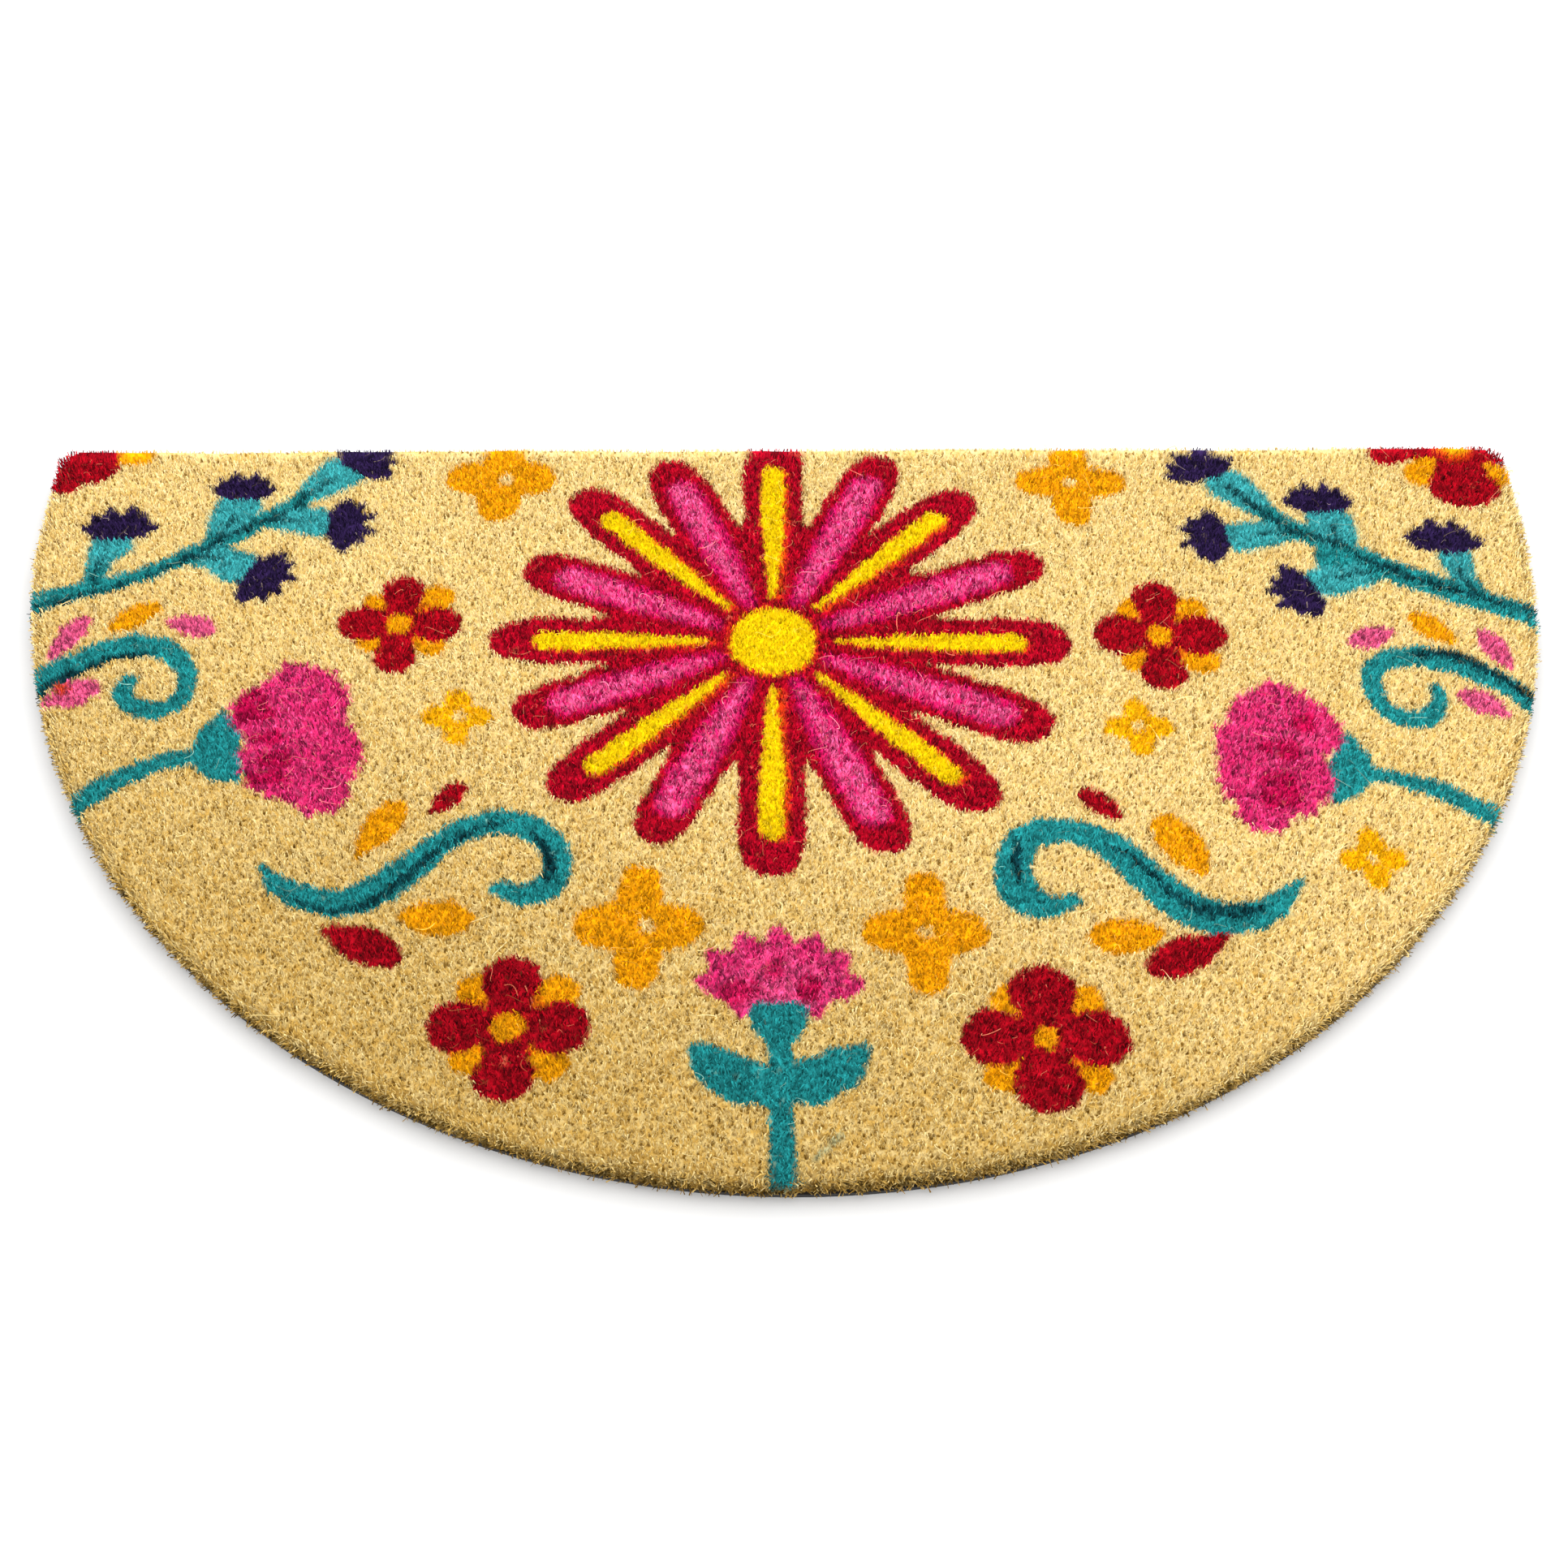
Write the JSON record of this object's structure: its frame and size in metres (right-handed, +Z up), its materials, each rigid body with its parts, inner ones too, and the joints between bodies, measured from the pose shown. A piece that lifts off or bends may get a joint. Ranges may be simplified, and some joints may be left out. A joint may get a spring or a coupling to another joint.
{
  "type": "doormat",
  "caption": "Flat half-round doormat: short sheared coir pile on a thin vinyl backing, printed with folk flowers, leaves and scrolls.",
  "frame": {"origin": "middle of the underside's bounding box, on the floor", "axes": "+X along the straight back edge, +Y towards the back edge, +Z up through the pile"},
  "size_m": [0.7629, 0.4577, 0.016],
  "materials": {
    "vinyl": "matte black vinyl sheet, calendered, with a clean knife-cut edge",
    "coir": "bleached coir fibres standing upright, sheared level, with a stencilled flower print on their tips"
  },
  "bodies": {
    "root": {"backing": "vinyl", "coir_pile": "coir"}
  },
  "joints": []
}
